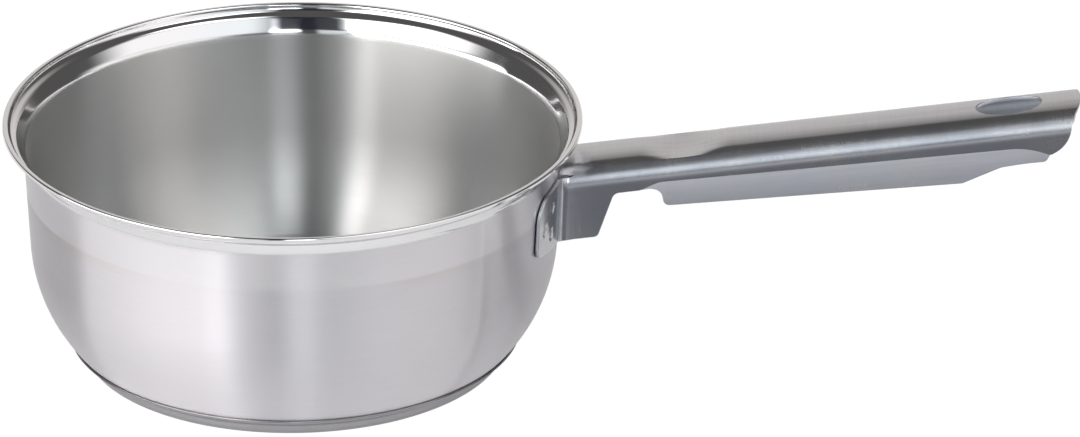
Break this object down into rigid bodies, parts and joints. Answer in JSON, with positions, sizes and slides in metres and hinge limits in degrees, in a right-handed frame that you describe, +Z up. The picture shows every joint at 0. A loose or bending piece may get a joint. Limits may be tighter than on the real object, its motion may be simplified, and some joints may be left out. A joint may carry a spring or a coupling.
{
  "type": "saucepan",
  "caption": "Stainless steel saucepan with a curled pouring rim, a layered base and a long welded sheet handle with an oval hanging hole.",
  "frame": {"origin": "centre of the flat underside of the base, on the axis of the pan", "axes": "+Z up along the axis of the pan, +X from the axis along the handle, +Y to the left of the handle"},
  "size_m": [0.3633, 0.1956, 0.0935],
  "materials": {
    "pan_steel": "satin brushed stainless steel, polished at the rim",
    "base_steel": "fine turned stainless steel",
    "core_aluminium": "plain rolled",
    "handle_steel": "stainless steel brushed across the handle",
    "weld_steel": "pressed weld marks"
  },
  "bodies": {
    "root": {"pan_body": "pan_steel", "base_capsule": "base_steel", "heat_core": "core_aluminium", "handle": "handle_steel", "spot_weld_right_upper": "weld_steel", "spot_weld_right_outer": "weld_steel", "spot_weld_right_lower": "weld_steel", "spot_weld_left_upper": "weld_steel", "spot_weld_left_outer": "weld_steel", "spot_weld_left_lower": "weld_steel"}
  },
  "joints": []
}
